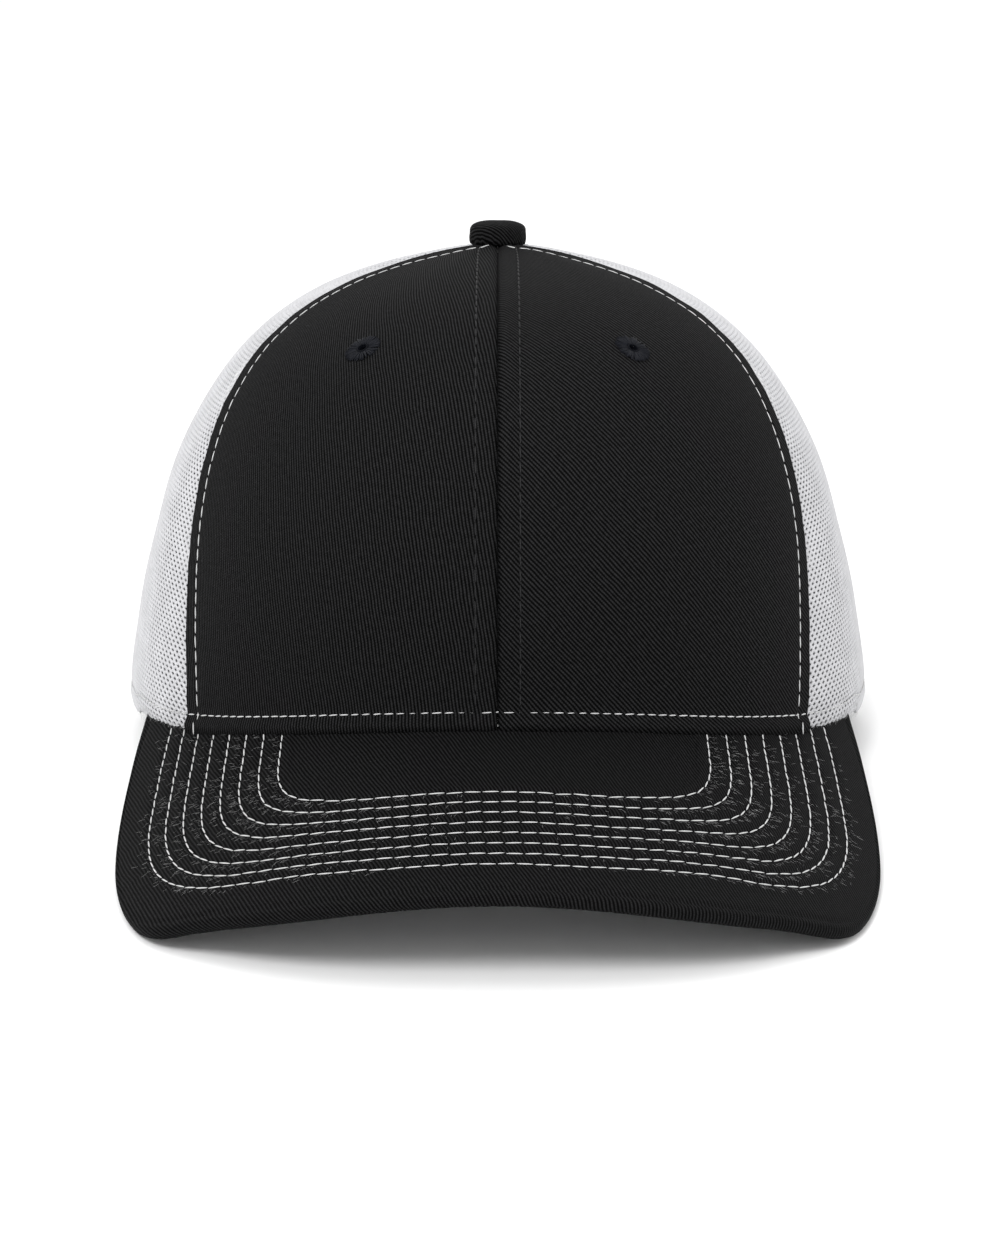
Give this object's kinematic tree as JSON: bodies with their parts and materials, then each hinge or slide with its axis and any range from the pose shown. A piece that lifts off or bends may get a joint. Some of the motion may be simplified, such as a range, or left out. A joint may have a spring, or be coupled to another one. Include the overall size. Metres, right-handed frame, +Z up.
{
  "type": "mesh-back cap",
  "caption": "Six-panel cap with stiff twill front, curved stitched visor, open mesh sides and back, covered button, eyelets and a plastic snap strap across a half-moon opening.",
  "frame": {"origin": "centre of the bounding box's base, on the table that the cap stands on", "axes": "+Z up, -Y out over the visor, +X to the right seen from in front; the cap leans back 5.5 degrees, as it does on its visor corners and rear strap"},
  "size_m": [0.1756, 0.2664, 0.1209],
  "materials": {
    "twill": "matt black cotton twill with a fine diagonal rib",
    "white_mesh": "open warp-knit polyester mesh, dull white",
    "black_tape": "black woven seam tape",
    "white_tape": "white woven seam tape",
    "sweatband_cloth": "off-white plain-weave cotton",
    "buckram": "stiffened open-weave backing",
    "visor_plastic": "moulded polyethylene board",
    "snap_plastic": "satin moulded plastic",
    "steel": "pressed steel",
    "eyelet_thread": "black embroidery thread with a slight lustre"
  },
  "bodies": {
    "cap": {"front_panel_right": "twill", "front_panel_left": "twill", "buckram_right": "buckram", "buckram_left": "buckram", "side_mesh_right": "white_mesh", "side_mesh_left": "white_mesh", "rear_mesh_right": "white_mesh", "rear_mesh_left": "white_mesh", "front_centre_tape": "black_tape", "front_side_tape_right": "white_tape", "front_side_tape_left": "white_tape", "side_rear_tape_right": "white_tape", "side_rear_tape_left": "white_tape", "rear_centre_tape": "white_tape", "arch_binding": "black_tape", "sweatband": "sweatband_cloth", "sweatband_padding": "buckram", "inner_label": "white_tape", "visor_cover_top": "twill", "visor_board": "visor_plastic", "visor_cover_under": "twill", "hole_tab_root": "snap_plastic", "peg_tab_root": "snap_plastic", "button_shell": "twill", "button_post": "steel", "button_washer": "steel", "eyelet_right": "eyelet_thread", "eyelet_left": "eyelet_thread"},
    "hole_tab": {"hole_tab": "snap_plastic"},
    "peg_tab": {"peg_tab": "snap_plastic"}
  },
  "joints": [
    {"name": "hole_tab_swing", "type": "hinge", "parent": "cap", "child": "hole_tab", "pos_m": [-0.04457, 0.11461, 0.01008], "axis": [0, 0.0952, 0.9955], "range_deg": [0, 45], "stiffness_Nm_per_rad": 0.01},
    {"name": "peg_tab_swing", "type": "hinge", "parent": "cap", "child": "peg_tab", "pos_m": [0.04276, 0.11211, 0.01032], "axis": [0, 0.0952, 0.9955], "range_deg": [0, 20], "stiffness_Nm_per_rad": 0.01}
  ]
}
